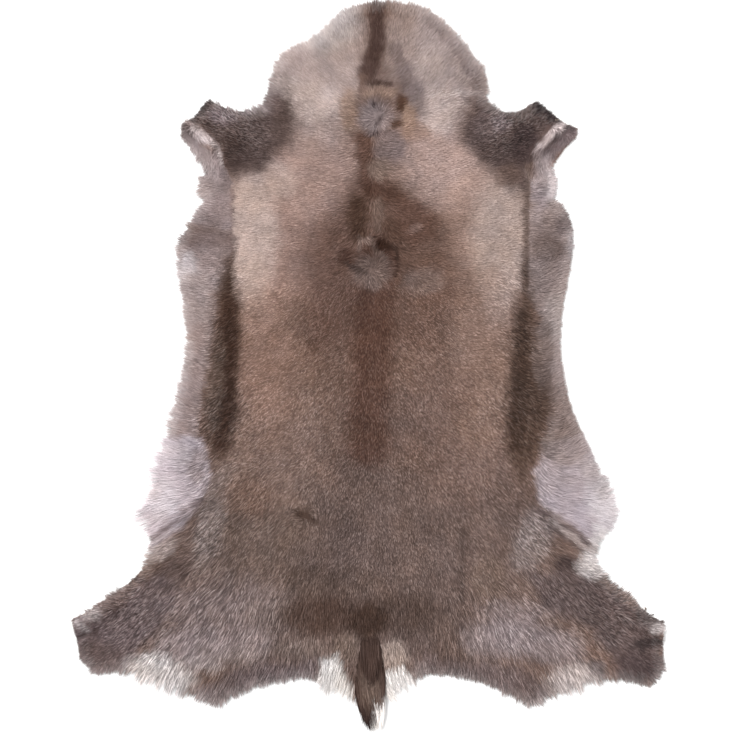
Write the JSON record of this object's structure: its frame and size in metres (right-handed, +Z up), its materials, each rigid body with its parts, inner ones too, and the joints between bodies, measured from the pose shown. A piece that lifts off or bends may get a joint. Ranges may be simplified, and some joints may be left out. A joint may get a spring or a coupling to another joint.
{
  "type": "reindeer hide",
  "caption": "Flat cured reindeer hide with its hair on: neck, leg flaps and tail in outline, short dense brown and beige coat, a rug or a seat cover.",
  "frame": {"origin": "bottom centre of the hide's bounding box, on the surface that it lies on", "axes": "+Y along the spine from the tail to the neck, +X to the right of it seen from above with the neck up, +Z up out of the hair side"},
  "size_m": [1.0145, 1.2548, 0.0277],
  "materials": {
    "hair": "dense matte hair, brown and grey-brown with beige flanks, dark legs and pale tufts",
    "skin": "pale suede flesh side of tanned skin"
  },
  "bodies": {
    "root": {"reindeer_hide": "hair"}
  },
  "joints": []
}
